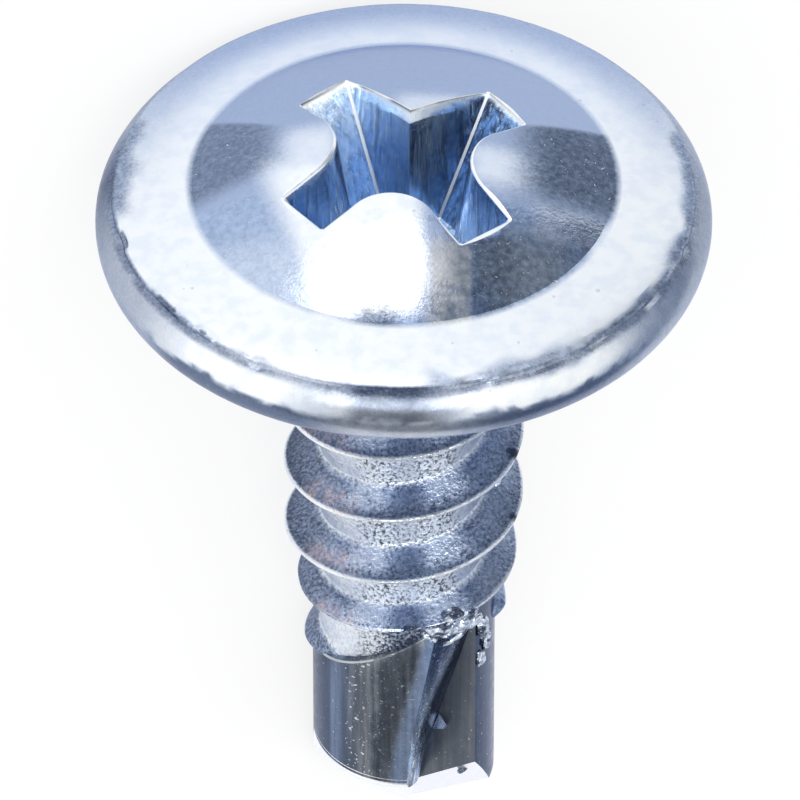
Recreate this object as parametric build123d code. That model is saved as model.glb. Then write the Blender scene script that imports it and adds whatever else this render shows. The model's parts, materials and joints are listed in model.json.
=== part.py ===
from build123d import *
import math
import os

# Self drilling screw with a low domed flange head, a cross recess, one coarse right-hand
# thread and a two-flute drill point. It is a single forged and rolled piece of steel.
# It is drawn standing on its point, with the bearing face of the flange in the plane z = 0
# and the head above it. The last step lays it down as it comes to rest. Millimetres.
# An azimuth is counted in degrees from the screw's front, the side of -Y, towards +X.

# ---- head ---------------------------------------------------------------------------------
flange_r = 5.11           # at the widest line of the rounded rim
rim_corner_r = 4.82       # where the rim meets the top, and the underside
rim_top = 1.125
rim_bottom = 0.03
bearing_r = 4.70          # outer edge of the flat bearing face
dome_r = 3.49             # the dome's foot, a crease round the flange
dome_foot = 1.344
dome_rise = 0.85

# ---- cross recess -------------------------------------------------------------------------
recess_azimuth = 127.6    # direction of the first of its four wings
recess_top = 2.6          # plane above the dome where its outline is drawn
recess_floor = -0.26      # where its walls end and its conical floor starts
floor_wing_r = 1.145      # reach of a wing at the floor
wing_wall_deg = 26.5      # slope of a wing's end wall from the axis
floor_half_width = 0.42   # half a wing's width at the floor
wing_draft_deg = 2.0      # slope of a wing's sides
floor_round = 0.40        # rounding between two wings at the floor
top_round = 1.10          # and at the outline's plane
floor_cone_deg = 69.0     # half angle of the conical floor

# ---- neck and core ------------------------------------------------------------------------
neck_r = 1.74             # the blank's own radius, left plain under the head
neck_fillet = 0.35
neck_end = -0.95
core_start = -1.35
root_r = 1.42             # floor of the thread's groove
core_overlap = 2.0        # the core runs this far down into the drill

# ---- thread -------------------------------------------------------------------------------
pitch = 1.4
thread_r = 2.02           # over the crests
crest_flat = 0.06         # width of the rolled crest
groove_flat = 0.72        # width of the groove's floor
ridge_sunk = 0.08         # how far the ridge's foot lies inside the core
front_crest_z = -3.01     # height of the crest that crosses the screw's front
last_turns = 2.6          # so many turns below that crest the pitch gets shorter
lift_turns = 0.5          # and within this many turns
last_lift = 0.16          # the ridge is higher by this
thread_top = -0.75        # where the ridge starts to rise, under the head
thread_full = -1.6        # full height from here down
taper_start = -6.3        # the ridge gets lower from here
taper_knee = -7.5
knee_r = 1.79
thread_end = -8.2         # and ends at the front flute, where it stands just proud of the drill
end_r = 1.74
fade_length = 0.2         # the last of it sinks into the drill over this height
faded_r = 1.39            # radius where it has sunk in
sections_per_turn = 12

# ---- drill point --------------------------------------------------------------------------
drill_r = 1.552
drill_top = -7.79         # height of the drill's top on the axis
drill_slope = 0.64        # its top is cut slanting, and rises towards +X by this much a millimetre
tip_z = -12.73
point_half_deg = 59.0     # half of the point's 118 degrees
lip_azimuth = 67.0        # the front cutting lip's outer corner
lip_thickness = 0.12      # full height of the point kept behind a lip, at the very tip
heel_step = 0.74          # behind that the end of the land is set back by this
heel_slope_deg = 20.0     # slope of the step from the axis

# ---- flutes -------------------------------------------------------------------------------
web_half = 0.374          # distance of a rake face from the axis
rake_azimuth = -24.4      # the way the front flute's rake face looks
thin_dip_deg = 28.9       # a short face that thins the web looks forwards and down by this
# The flute's other wall runs from the land's heel edge to the bottom of the groove:
# height, azimuth of the heel edge, and the groove's place towards +X and to the front.
wall_stations = [
    (-7.0, 24.0, 1.30, 1.00),
    (-8.5, 14.2, 1.00, 0.86),
    (-10.0, 4.6, 0.70, 0.73),
    (-11.7, 0.6, 0.36, 0.57),
    (-12.9, 0.0, 0.05, -0.10),
]
groove_overrun = 2.0      # the cut goes on in the wall's line, past the bottom of the groove
heel_overrun = 1.0        # and past the heel edge
cutter = 30.0             # size of the blocks that trim the drill
tip_margin = 1.0          # how far they reach below the tip

# ---- how it lies --------------------------------------------------------------------------
foot_zone = -10.0         # it rests on the flange's rim and on corners below this height
roll_first = 195.0        # and on its rear flute: one of the azimuths from here
roll_last = 222.0         # to here lies lowest
roll_steps = 2700


def outward(azimuth, dip=0.0):
    """Unit vector that looks in an azimuth, and downwards by its dip."""
    a, d = math.radians(azimuth), math.radians(dip)
    return Vector(math.sin(a) * math.cos(d), -math.cos(a) * math.cos(d), -math.sin(d))


def turned(points_and_arcs):
    """Solid turned about the axis from a closed half section of lines and arcs."""
    with BuildSketch(Plane.XZ) as section:
        with BuildLine():
            for run in points_and_arcs:
                if run[0] == "arc":
                    ThreePointArc(*run[1:])
                else:
                    Polyline(*run[1:])
        make_face()
    return revolve(section.sketch, Axis.Z)


def half_space(normal, distance):
    """A block that fills the side of a plane its normal looks to."""
    plane = Plane(origin=normal * distance, z_dir=normal)
    return plane * Box(2 * cutter, 2 * cutter, cutter, align=(Align.CENTER, Align.CENTER, Align.MIN))


def head_and_core():
    """Flange, dome, neck and the thread's core, down into the drill."""
    radius = (dome_r**2 + dome_rise**2) / (2 * dome_rise)
    half_turn = math.asin(dome_r / radius) / 2
    top = dome_foot + dome_rise
    dome_mid = (radius * math.sin(half_turn), top - radius * (1 - math.cos(half_turn)))
    rim_mid = (flange_r, (rim_top + rim_bottom) / 2)
    in_fillet = neck_fillet * (1 - math.cos(math.pi / 4))
    seat = (neck_r + neck_fillet, 0)
    core_end = drill_top - core_overlap
    return turned([
        ("arc", (0, top), dome_mid, (dome_r, dome_foot)),
        ("line", (dome_r, dome_foot), (rim_corner_r, rim_top)),
        ("arc", (rim_corner_r, rim_top), rim_mid, (rim_corner_r, rim_bottom)),
        ("line", (rim_corner_r, rim_bottom), (bearing_r, 0), seat),
        ("arc", seat, (neck_r + in_fillet, -in_fillet), (neck_r, -neck_fillet)),
        ("line", (neck_r, -neck_fillet), (neck_r, neck_end), (root_r, core_start),
         (root_r, core_end), (0, core_end), (0, top)),
    ])


def crest_radius(z):
    """Radius over the ridge: it rises under the head and dies out on the drill."""
    stations = [
        (thread_top, faded_r),
        (thread_full, thread_r),
        (taper_start, thread_r),
        (taper_knee, knee_r),
        (thread_end, end_r),
        (thread_end - fade_length, faded_r),
    ]
    for (z_high, r_high), (z_low, r_low) in zip(stations, stations[1:]):
        if z >= z_low:
            share = min((z - z_low) / (z_high - z_low), 1)
            return r_low + (r_high - r_low) * share
    return faded_r


def ridge_section(turn):
    """The ridge's section, so many turns below the crest on the screw's front."""
    lifted = min(max((turn - last_turns) / lift_turns, 0), 1)
    z = front_crest_z - turn * pitch + last_lift * lifted
    foot_r = root_r - ridge_sunk
    flank = ((pitch - groove_flat - crest_flat) / 2) / (thread_r - root_r)
    foot_half = (pitch - groove_flat) / 2 + flank * ridge_sunk
    crest_r = crest_radius(z)
    crest_half = foot_half - flank * (crest_r - foot_r)
    across = outward(-360 * turn)
    plane = Plane(origin=(0, 0, z), x_dir=across, z_dir=across.cross(Vector(0, 0, 1)))
    with BuildSketch(plane) as section:
        with BuildLine():
            Polyline(
                (foot_r, -foot_half),
                (crest_r, -crest_half),
                (crest_r, crest_half),
                (foot_r, foot_half),
                close=True,
            )
        make_face()
    return section.sketch


def thread_turns():
    """The right-hand ridge, as one loft for each turn."""
    first = (front_crest_z - thread_top) / pitch
    last = (front_crest_z - thread_end + fade_length) / pitch
    count = round(last - first)
    length = (last - first) / count
    turns = []
    for i in range(count):
        start = first + i * length
        stations = [start + length * j / sections_per_turn for j in range(sections_per_turn + 1)]
        turns.append(loft([ridge_section(station) for station in stations]))
    return turns


def drill_blank():
    """The drill before its flutes: a cylinder with a conical point and a slanting top."""
    cone_start = tip_z + drill_r / math.tan(math.radians(point_half_deg))
    highest = drill_top + drill_slope * drill_r
    blank = turned([
        ("line", (0, highest), (drill_r, highest), (drill_r, cone_start), (0, tip_z),
         (0, highest)),
    ])
    upwards = Vector(-drill_slope, 0, 1).normalized()
    return blank - half_space(upwards, upwards.dot(Vector(0, 0, drill_top)))


def recess_outline(z):
    """The cross at a height: four wings, with a round between each two."""
    above = z - recess_floor
    reach = floor_wing_r + above * math.tan(math.radians(wing_wall_deg))
    half = floor_half_width + above * math.tan(math.radians(wing_draft_deg))
    share = above / (recess_top - recess_floor)
    rounding = floor_round + (top_round - floor_round) * share
    with BuildSketch(Plane.XY.offset(z)) as outline:
        Rectangle(2 * reach, 2 * half, rotation=recess_azimuth - 90)
        Rectangle(2 * reach, 2 * half, rotation=recess_azimuth)
        inner = outline.vertices().sort_by(lambda v: math.hypot(v.X, v.Y))[:4]
        fillet(inner, rounding)
    return outline.sketch


def recess():
    """Tapered cross with a conical floor, to be cut from the head."""
    walls = loft([recess_outline(recess_floor), recess_outline(recess_top)], ruled=True)
    depth = floor_wing_r / math.tan(math.radians(floor_cone_deg))
    cone = turned([
        ("line", (0, recess_floor), (floor_wing_r, recess_floor), (0, recess_floor - depth),
         (0, recess_floor)),
    ])
    cross = extrude(recess_outline(recess_floor), -2 * depth)
    return walls + (cone & cross)


def wall_side():
    """All that lies before the flute's twisted wall, as a loft from top to tip."""
    sections = []
    for z, heel_azimuth, groove_x, groove_front in wall_stations:
        heel = outward(heel_azimuth) * drill_r
        groove = Vector(groove_x, -groove_front, 0)
        along = (heel - groove).normalized()
        far = Vector(cutter / 2, 0, 0)
        first, last = groove - along * groove_overrun, heel + along * heel_overrun
        corners = [first, last, last + far, first + far]
        with BuildSketch(Plane.XY.offset(z)) as section:
            Polygon(*[(c.X, c.Y) for c in corners], align=None)
        sections.append(section.sketch)
    return loft(sections)


def flute():
    """The front flute: before its wall, and before its rake face or its thinning face."""
    wall = wall_side()
    thin_normal = outward(0, thin_dip_deg)
    rake = half_space(outward(rake_azimuth), web_half)
    thin = half_space(thin_normal, thin_normal.dot(Vector(0, 0, tip_z)))
    return (wall & rake) + (wall & thin)


def heel():
    """What is set back behind the front lip: under a raised cone, past a sloping step."""
    slope = 1 / math.tan(math.radians(point_half_deg))
    cone_tip = tip_z + heel_step
    reach, below = 2 * drill_r, tip_z - tip_margin
    under = turned([
        ("line", (0, cone_tip), (reach, cone_tip + reach * slope), (reach, below), (0, below),
         (0, cone_tip)),
    ])
    behind = outward(lip_azimuth + 90, heel_slope_deg)
    edge = outward(lip_azimuth + 90) * lip_thickness + Vector(0, 0, tip_z)
    return under & half_space(behind, behind.dot(edge))


def upright():
    """The whole screw, standing on its point."""
    screw = head_and_core().fuse(drill_blank(), *thread_turns())
    screw = screw - recess()
    for turn in (0, 180):
        screw = screw - Rot(0, 0, turn) * flute() - Rot(0, 0, turn) * heel()
    return screw


def lean(roll, feet):
    """Angle of the axis to the table when this azimuth lies lowest: the first foot stops it."""
    half_height = (rim_top - rim_bottom) / 2
    bulge = flange_r - rim_corner_r
    rim_radius = (half_height**2 + bulge**2) / (2 * bulge)
    rim_z, rim_r = rim_bottom + half_height, flange_r - rim_radius
    down = outward(roll)
    angles = []
    for foot in feet:
        along, across = rim_z - foot.Z, rim_r - down.X * foot.X - down.Y * foot.Y
        angles.append(math.atan2(across, along) + math.asin(rim_radius / math.hypot(across, along)))
    return min(angles)


def laid_down(screw):
    """The screw at rest on the table z = 0, head towards +X, over the middle of its box."""
    feet = [corner for corner in screw.vertices() if corner.Z < foot_zone]
    step = (roll_last - roll_first) / roll_steps
    rolls = [roll_first + step * i for i in range(roll_steps + 1)]
    roll = max(rolls, key=lambda r: lean(r, feet))
    tilt = lean(roll, feet)
    standing = Plane(origin=(0, 0, 0), x_dir=outward(roll), z_dir=(0, 0, 1))
    lying = Plane(
        origin=(0, 0, 0),
        x_dir=(math.sin(tilt), 0, -math.cos(tilt)),
        z_dir=(math.cos(tilt), 0, math.sin(tilt)),
    )
    laid = lying.location * standing.location.inverse() * screw
    box = laid.bounding_box()
    return Pos(-box.center().X, -box.center().Y, -box.min.Z) * laid


os.makedirs("parts", exist_ok=True)
export_step(laid_down(upright()), "parts/screw.step")
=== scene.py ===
# %% [markdown]
# # A self drilling screw
# A zinc plated screw with a wide flange head, a cross recess, a coarse thread and a drill for a
# point. It is one piece of steel. The CAD model gives its place and size: the screw lies on a
# table, on the rim of its flange and on the end of its drill. Here it gets the form and the
# finish that show from close by. It is shaped standing on its point, in millimetres, where its
# own measures are easy to read, and laid down at the end.

# %% Load the frame
import json
import math

import bmesh
import bpy
from mathutils import Matrix, Vector, noise


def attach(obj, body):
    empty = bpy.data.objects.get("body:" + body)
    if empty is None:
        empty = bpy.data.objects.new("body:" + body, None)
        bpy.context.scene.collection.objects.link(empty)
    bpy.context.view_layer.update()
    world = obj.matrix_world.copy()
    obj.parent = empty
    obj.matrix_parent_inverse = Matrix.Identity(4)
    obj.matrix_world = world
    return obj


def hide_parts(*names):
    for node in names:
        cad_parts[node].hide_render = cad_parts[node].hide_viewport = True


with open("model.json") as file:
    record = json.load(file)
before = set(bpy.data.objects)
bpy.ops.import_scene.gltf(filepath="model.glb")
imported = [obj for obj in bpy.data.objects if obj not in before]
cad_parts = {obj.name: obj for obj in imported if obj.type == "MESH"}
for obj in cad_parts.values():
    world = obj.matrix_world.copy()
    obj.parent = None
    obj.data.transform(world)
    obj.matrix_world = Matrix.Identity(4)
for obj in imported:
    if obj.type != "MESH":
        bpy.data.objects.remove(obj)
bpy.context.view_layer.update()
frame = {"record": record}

mounts = {mount["name"]: mount for mount in frame["record"]["mounts"]}


def rounded(values, digits=2):
    """Numbers, short enough to print."""
    return [round(float(value), digits) for value in values]


# %% [markdown]
# ## Where the screw lies
# A screw is easiest to shape upright: its axis is Z, the flat underside of the flange is z = 0,
# and the point looks down. The frame says where that underside's middle is and which way the
# point looks once the screw lies down. One more number is needed, the side that lies lowest.
# From these comes one matrix, which lays down the finished mesh and the camera.

# %% Standing space and lying space
mm = 0.001
tip_z = -12.73               # height of the drill's tip
lowest_azimuth = 207.55      # the rear flute; azimuths run from the front, -Y, towards +X


def outward(azimuth, dip=0.0):
    """Unit vector that looks in an azimuth, and downwards by its dip."""
    a, d = math.radians(azimuth), math.radians(dip)
    return Vector((math.sin(a) * math.cos(d), -math.cos(a) * math.cos(d), -math.sin(d)))


def lying_matrix():
    """Takes a point of the standing screw, in millimetres, to the table, in metres."""
    up = Vector((0, 0, 1))
    headwards = -Vector(mounts["bearing_face"]["axis"]).normalized()
    downwards = (headwards * headwards.z - up).normalized()
    lying = Matrix((downwards, headwards.cross(downwards), headwards)).transposed()
    below = outward(lowest_azimuth)
    standing = Matrix((below, up.cross(below), up)).transposed()
    turn = (lying @ standing.transposed()).to_4x4()
    seat = Vector(mounts["bearing_face"]["pos_m"])
    return Matrix.Translation(seat) @ turn @ Matrix.Scale(mm, 4)


lay_down = lying_matrix()
print("the point lies at", rounded(lay_down @ Vector((0, 0, tip_z)), 5))

# %% [markdown]
# ## The camera
# A product shot is taken from far away with a long lens, so that parallel edges stay parallel.
# The camera looks down on the flange at 42 degrees. It could be aimed at the lying screw. It is
# placed beside the standing one instead, where the angles are plain, and lies down with it, so
# that the head is at the top of the frame and the point at the bottom.

# %% Camera
look_at = Vector((0, 0, -3.5))
camera_height_deg = 42.15
camera_distance = 200.0
frame_width = 13.414         # what the frame spans at that distance
axis_shift = -3.7 / 800      # the axis stands this share of the frame right of its middle


def add_camera():
    """The camera, turned so that the screw's axis is upright in its frame."""
    rise = math.radians(camera_height_deg)
    back = Vector((0, -math.cos(rise), math.sin(rise)))
    above = Vector((0, math.sin(rise), math.cos(rise)))
    turn = Matrix((Vector((1, 0, 0)), above, back)).transposed().to_4x4()
    standing = Matrix.Translation(look_at + back * camera_distance) @ turn
    place, rotation, _ = (lay_down @ standing).decompose()
    lens = bpy.data.cameras.new("camera")
    lens.sensor_width = 36.0
    lens.lens = lens.sensor_width * camera_distance / frame_width
    lens.shift_x = axis_shift
    lens.clip_start = 0.01
    camera = bpy.data.objects.new("camera", lens)
    camera.matrix_world = Matrix.Translation(place) @ rotation.to_matrix().to_4x4()
    bpy.context.scene.collection.objects.link(camera)
    bpy.context.scene.camera = camera
    return camera


camera = add_camera()
print("camera at", rounded(camera.location, 4))

# %% [markdown]
# ## Regions of the surface
# The whole screw is one piece with one finish, but the finish differs from place to place: satin on the
# flange, painted dark as shade on the drill, painted white as a highlight on its point, blue deep in the
# recess. The faces could be picked by their place at the end. Here every face gets the number of its
# region when it is made.
# The number lives in a face layer, which extrusions, merges and Booleans carry along, so it
# still says at the end where a face came from.

# %% Regions
regions = {name: number for number, name in enumerate(
    ["head", "thread", "drill", "recess", "corner", "flute", "rake", "facet", "heel", "burr"])}


def marked(form, region, where=None):
    """Writes a region's number on the faces of a bmesh: on all, or on those that pass a test."""
    layer = form.faces.layers.int.get("region") or form.faces.layers.int.new("region")
    for face in form.faces:
        if where is None or where(face):
            face[layer] = regions[region]
    return form


print("regions:", ", ".join(regions))

# %% [markdown]
# ## The head
# The flange, its rounded rim and the low dome were struck in a die, so all of it is round. Such a
# form can be pushed out of a cylinder ring by ring, or turned from its half section with spin,
# as on a lathe. Spin is used, because the section can then be read as a drawing. The arcs come
# from a formula, and the section stops in the neck, where the thread will join it.

# %% Measures of the head
flange_r = 5.105
rim_corner_r = 4.82
rim_top = 1.125
flange_slope_deg = 7.8
shoulder_r = 4.40            # from here outwards the flange curves down to the rim
rim_step = 0.06              # where the two halves of the die met, a small step runs round the rim
rim_step_out = 0.01
rim_bottom = 0.03
bearing_r = 4.70
dome_r = 3.49
dome_foot = 1.344
dome_rise = 0.85
ball_r = (dome_r**2 + dome_rise**2) / (2 * dome_rise)
neck_r = 1.74
neck_fillet = 0.35
neck_cut = -0.60             # the head's mesh ends here
print("the dome is part of a ball of", round(ball_r, 2), "mm radius")

# %% Half section of the head
def arc_points(center_r, center_z, radius, first_deg, last_deg, count):
    """Points on an arc in the half section, ends included."""
    angles = [math.radians(first_deg + (last_deg - first_deg) * i / (count - 1)) for i in range(count)]
    return [(center_r + radius * math.cos(a), center_z + radius * math.sin(a)) for a in angles]


def line_points(first, last, count):
    """Points on a straight stretch of the half section, without its first one."""
    shares = [i / count for i in range(1, count + 1)]
    return [(first[0] + (last[0] - first[0]) * s, first[1] + (last[1] - first[1]) * s) for s in shares]


def head_section():
    """From the top of the dome to the neck."""
    foot_deg = math.degrees(math.acos(dome_r / ball_r))
    section = arc_points(0, dome_foot + dome_rise - ball_r, ball_r, 90, foot_deg, 30)
    section[0] = (0, dome_foot + dome_rise)
    slope = math.tan(math.radians(flange_slope_deg))
    section += line_points((dome_r, dome_foot), (shoulder_r, dome_foot - slope * (shoulder_r - dome_r)), 7)
    top_z = section[-1][1]
    width = rim_corner_r - shoulder_r
    for share in [i / 8 for i in range(1, 9)]:
        out = width * share
        more = (top_z - rim_top - slope * width) * share**2
        section.append((shoulder_r + out, top_z - slope * out - more))
    step = (rim_corner_r + rim_step_out, rim_top - rim_step)
    section += line_points((rim_corner_r, rim_top), step, 2)
    half_height = (step[1] - rim_bottom) / 2
    bulge = flange_r - step[0]
    rim_r = (half_height**2 + bulge**2) / (2 * bulge)
    rim_deg = math.degrees(math.asin(half_height / rim_r))
    section += arc_points(flange_r - rim_r, rim_bottom + half_height, rim_r, rim_deg, -rim_deg, 18)[1:]
    section += line_points((step[0], rim_bottom), (bearing_r, 0), 2)
    section += line_points((bearing_r, 0), (neck_r + neck_fillet, 0), 8)
    section += arc_points(neck_r + neck_fillet, -neck_fillet, neck_fillet, 90, 180, 6)[1:]
    return section + line_points((neck_r, -neck_fillet), (neck_r, neck_cut), 2)


print("half section of the head:", len(head_section()), "points")

# %% Turn the head
head_columns = 400


def spun(section, columns):
    """A closed or open shell, turned from a half section of (radius, height) points."""
    form = bmesh.new()
    points = [form.verts.new((0, -r, z)) for r, z in section]
    lines = [form.edges.new(pair) for pair in zip(points, points[1:])]
    bmesh.ops.spin(form, geom=points + lines, cent=(0, 0, 0), axis=(0, 0, 1),
                   angle=2 * math.pi, steps=columns, use_merge=True)
    bmesh.ops.remove_doubles(form, verts=form.verts, dist=1e-4)
    return form


head = marked(spun(head_section(), head_columns), "head")
print("head:", len(head.faces), "faces")

# %% [markdown]
# ### Wear of the head
# Screws are plated and packed in bulk, so no rim is perfect. The flange is a few microns off
# flat, and its upper edge is bruised, with a chip here and there. A bruise could be cut with a
# Boolean, but there are hundreds. The points near the edge are moved instead, inwards and down,
# by noise that runs round with the edge. The rim never moves outwards, so the size holds.

# %% Bruises and chips
bruise_depth = 0.035
nick_depth = 0.012
rim_chips = [                # azimuth, width along the edge, depth
    (-76, 0.50, 0.09), (-56, 0.80, 0.05), (-43, 0.50, 0.04), (-30, 0.30, 0.03), (14, 0.50, 0.03),
    (24, 0.60, 0.04), (40, 0.40, 0.04), (57, 0.50, 0.05), (74, 0.30, 0.03),
]


def blend(value, low, high):
    """0 below low, 1 above high, and smooth between the two."""
    share = min(max((value - low) / (high - low), 0), 1)
    return share * share * (3 - 2 * share)


def edge_wear(azimuth):
    """Depth of the bruises and nicks at an azimuth. The back of the rim has few."""
    turn = Vector((math.sin(math.radians(azimuth)), math.cos(math.radians(azimuth)), 0))
    coarse = max(noise.noise(turn * 9) + 0.1, 0)
    fine = noise.noise(turn * 42 + Vector((0, 0, 5)))
    front = 1 - 0.9 * blend(abs(azimuth), 95, 120)
    return (bruise_depth * coarse + nick_depth * max(fine, 0)) * front


def chip_depth(azimuth):
    """Depth of the chips at an azimuth."""
    deepest = 0
    for place, width, depth in rim_chips:
        away = abs((azimuth - place + 180) % 360 - 180) * math.radians(1) * rim_corner_r
        ragged = 1 + 0.5 * noise.noise(Vector((azimuth * 0.4, 0, 2)))
        deepest = max(deepest, depth * ragged * (1 - blend(away, 0.1 * width, 0.75 * width)))
    return deepest


print("deepest bruise:", round(max(edge_wear(a) + chip_depth(a) for a in range(-180, 180)), 3), "mm")

# %% Wear the head
wave_height = 0.006
dimple_height = 0.0022


def azimuth_of(place):
    """The azimuth of a place on the standing screw, in degrees."""
    return math.degrees(math.atan2(place.x, -place.y))


def wear_head(form):
    """Bruises the rim's upper edge and takes the flange a little off round and flat."""
    for vert in form.verts:
        x, y, z = vert.co
        radius = math.hypot(x, y)
        if radius < 1 or z < 0.2:
            continue         # the top of the dome and the underside stay as they are
        azimuth = azimuth_of(vert.co)
        near_edge = 1 - blend(math.hypot(radius - rim_corner_r, (z - rim_top) * 1.5), 0.02, 0.17)
        depth = near_edge * (edge_wear(azimuth) + chip_depth(azimuth))
        wave = wave_height * (noise.noise(vert.co * 0.45) - 0.6)
        dimple = dimple_height * noise.noise(vert.co * 3.1)
        inwards = 1 - (depth * 0.7 - min(wave, 0)) / radius
        vert.co.x, vert.co.y = x * inwards, y * inwards
        vert.co.z = z - depth + (wave + dimple) * blend(radius, 1, 2)


wear_head(head)
print("the worn dome rises to", round(max(vert.co.z for vert in head.verts), 3), "mm")

# %% [markdown]
# ## The thread
# The thread was rolled: the blank turned between two dies that pressed the groove in and pushed
# the ridge up. Its ridge climbs by one pitch a turn. It could be a coil welded to a cylinder, but
# the weld would run along its whole foot. A spin that also climbs makes the groove and the ridge
# in one: a line one pitch high is swept up and round, its top edge lands on the bottom edge of
# the next turn, and merging the doubles closes it into one skin. Then every point of this skin is
# moved to the radius that the real one has at that height and azimuth.

# %% Measures of the thread
shank_columns = 240
pitch = 1.4
thread_r = mounts["thread"]["dims"]["r_mm"]
drill_r = mounts["drill_point"]["dims"]["r_mm"]
root_r = 1.42
front_crest_z = -3.01        # height of the crest at the front
foot_half = 0.34             # half the width of the ridge's foot
crest_half = 0.022           # half the width of its crest
neck_end = -0.95             # the neck's plain cylinder ends, and the groove starts
core_start = -1.35
skin_top = -0.72             # where the skin of the thread is cut off, in the neck
skin_bottom = -9.5           # and inside the drill
last_turns = 2.6             # beyond this many turns below the front crest the ridge is lifted
last_lift = 0.16
end_turn = 3.80              # the ridge ends here, at the front flute
stub_start = 4.10            # past the flute, a stub of it comes back
stub_end = 4.47              # and ends at the rear flute
crest_stations = [           # height and radius of the crest
    (-8.9, 1.70), (-8.3, 1.74), (-7.5, 1.80), (-6.3, thread_r), (-1.6, thread_r), (-0.75, 1.40),
]


def along(stations, place):
    """The value that a list of (place, value) pairs, in rising order, has at a place."""
    for (low, first), (high, last) in zip(stations, stations[1:]):
        if place <= high:
            return first + (last - first) * max((place - low) / (high - low), 0)
    return stations[-1][1]


print("the crest's radius is", thread_r, "mm, and", round(along(crest_stations, -7), 2), "at z = -7")

# %% Skin of the thread
def everything(form):
    """The points, edges and faces of a bmesh, as many operators want them."""
    return form.verts[:] + form.edges[:] + form.faces[:]


def ridge_heights():
    """Distances below a crest at which the swept line has its points, one pitch in all."""
    near = [0, 0.016, 0.032, 0.05, 0.085, 0.13, 0.18, 0.23, 0.28, 0.32, 0.35, 0.40, 0.47, 0.56]
    return near + [pitch / 2] + [pitch - h for h in reversed(near)]


def thread_skin():
    """A plain cylinder's skin, with rows that climb as the thread does: one turn, then copies."""
    skin = bmesh.new()
    start = front_crest_z - pitch * math.ceil((front_crest_z - skin_bottom) / pitch)
    points = [skin.verts.new((0, -root_r, start - h)) for h in ridge_heights()]
    lines = [skin.edges.new(pair) for pair in zip(points, points[1:])]
    bmesh.ops.spin(skin, geom=points + lines, cent=(0, 0, 0), axis=(0, 0, 1),
                   dvec=(0, 0, pitch / shank_columns), angle=2 * math.pi, steps=shank_columns,
                   use_merge=False)
    turn = everything(skin)
    for _ in range(math.ceil((skin_top - start) / pitch)):
        turn = bmesh.ops.duplicate(skin, geom=turn)["geom"]
        copied = [g for g in turn if isinstance(g, bmesh.types.BMVert)]
        bmesh.ops.translate(skin, verts=copied, vec=(0, 0, pitch))
    bmesh.ops.remove_doubles(skin, verts=skin.verts, dist=1e-4)
    for height, side in ((skin_top, 1), (skin_bottom, -1)):
        bmesh.ops.bisect_plane(skin, geom=everything(skin), plane_co=(0, 0, height),
                               plane_no=(0, 0, side), clear_outer=True, dist=1e-4)
    return skin


skin = thread_skin()
print("skin of the thread:", len(skin.faces), "faces")

# %% [markdown]
# ### The form of the ridge
# The groove has a round floor that is a little thinner than the neck, and the ridge stands on it
# with straight flanks and a narrow crest. The last turns get lower and are lifted a little, and
# the flutes cut the ridge short. All this could be sculpted. Here each of them is a small
# function, and a point's radius is worked out from them, so each can be changed on its own.

# %% Radius of the ridge
seam_in = (2.72, 2.82)       # turns below the front crest over which a seam opens in the crest
seam_out = (3.5, 3.3)        # and over which it closes again
seam_depth = 0.030
seam_half = 0.02             # the seam makes half the crest's width this much more
lump_height = 0.04
wander_height = 0.006


def core_radius(z):
    """Radius of the neck or of the groove's floor."""
    return neck_r + (root_r - neck_r) * blend(-z, -neck_end, -core_start)


def ridge_share(turn):
    """How much of the ridge is there, so many turns below the front crest."""
    ridge = 1 - blend(turn, end_turn - 0.05, end_turn + 0.02)
    stub = blend(turn, stub_start, stub_start + 0.16) - blend(turn, stub_end - 0.05, stub_end)
    return ridge + stub


def seam_share(turn):
    """How open the seam is, so many turns below the front crest."""
    return blend(turn, *seam_in) * blend(turn, *seam_out)


def crest_flaw(turn, below):
    """How far the crest is off its radius: a seam on the last turns, and small lumps."""
    wander = noise.noise(Vector((turn * 22, 3, below * 4)))
    lump = lump_height * max(noise.noise(Vector((turn * 61, 0, 0))) - 0.42, 0) * blend(below, 0.1, 0.0)
    seam = seam_share(turn) * blend(below, 0.03, 0.005)
    return wander_height * wander + lump - seam_depth * seam


def shaped_radius(azimuth, z):
    """Radius of the skin at an azimuth in radians and a height."""
    core = core_radius(z)
    turn = (front_crest_z - z) / pitch
    from_crest = (turn + azimuth / (2 * math.pi) + 0.5) % 1 - 0.5
    below = abs(from_crest) * pitch
    crest_turn = turn - from_crest
    flat = crest_half + seam_half * seam_share(crest_turn)
    flank = 1 - min(max((below - flat) / (foot_half - flat), 0), 1)
    ridge = root_r + (along(crest_stations, z) - root_r) * flank
    if flank > 0 and ridge > core:
        worn = min(ridge + crest_flaw(crest_turn, below) * flank, thread_r)
        return core + (worn - core) * ridge_share(crest_turn)
    return core


print("radius at the front crest:", round(shaped_radius(0, front_crest_z), 3), "mm")

# %% Shape the thread
lift_end = (-9.4, -9.0)      # the lift of the last turns fades out between these heights


def shape_thread(skin):
    """Moves every point of the skin out to its place."""
    for vert in skin.verts:
        x, y, z = vert.co
        azimuth = math.atan2(x, -y)
        radius = shaped_radius(azimuth, z)
        vert.co.x, vert.co.y = radius * math.sin(azimuth), -radius * math.cos(azimuth)
        turn = (front_crest_z - z) / pitch
        vert.co.z = z + last_lift * blend(turn, last_turns, last_turns + 0.5) * blend(z, *lift_end)


shape_thread(skin)
marked(skin, "thread")
print("the thread reaches", round(max(vert.co.xy.length for vert in skin.verts), 3), "mm from the axis")

# %% [markdown]
# ## The shank
# The head and the thread become one shell: both are put in one mesh, the two open loops that
# face each other in the neck are bridged, and the lower end is filled. Bridging needs no equal
# number of points on the two loops, so each part keeps the number of columns that it needs.

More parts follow.
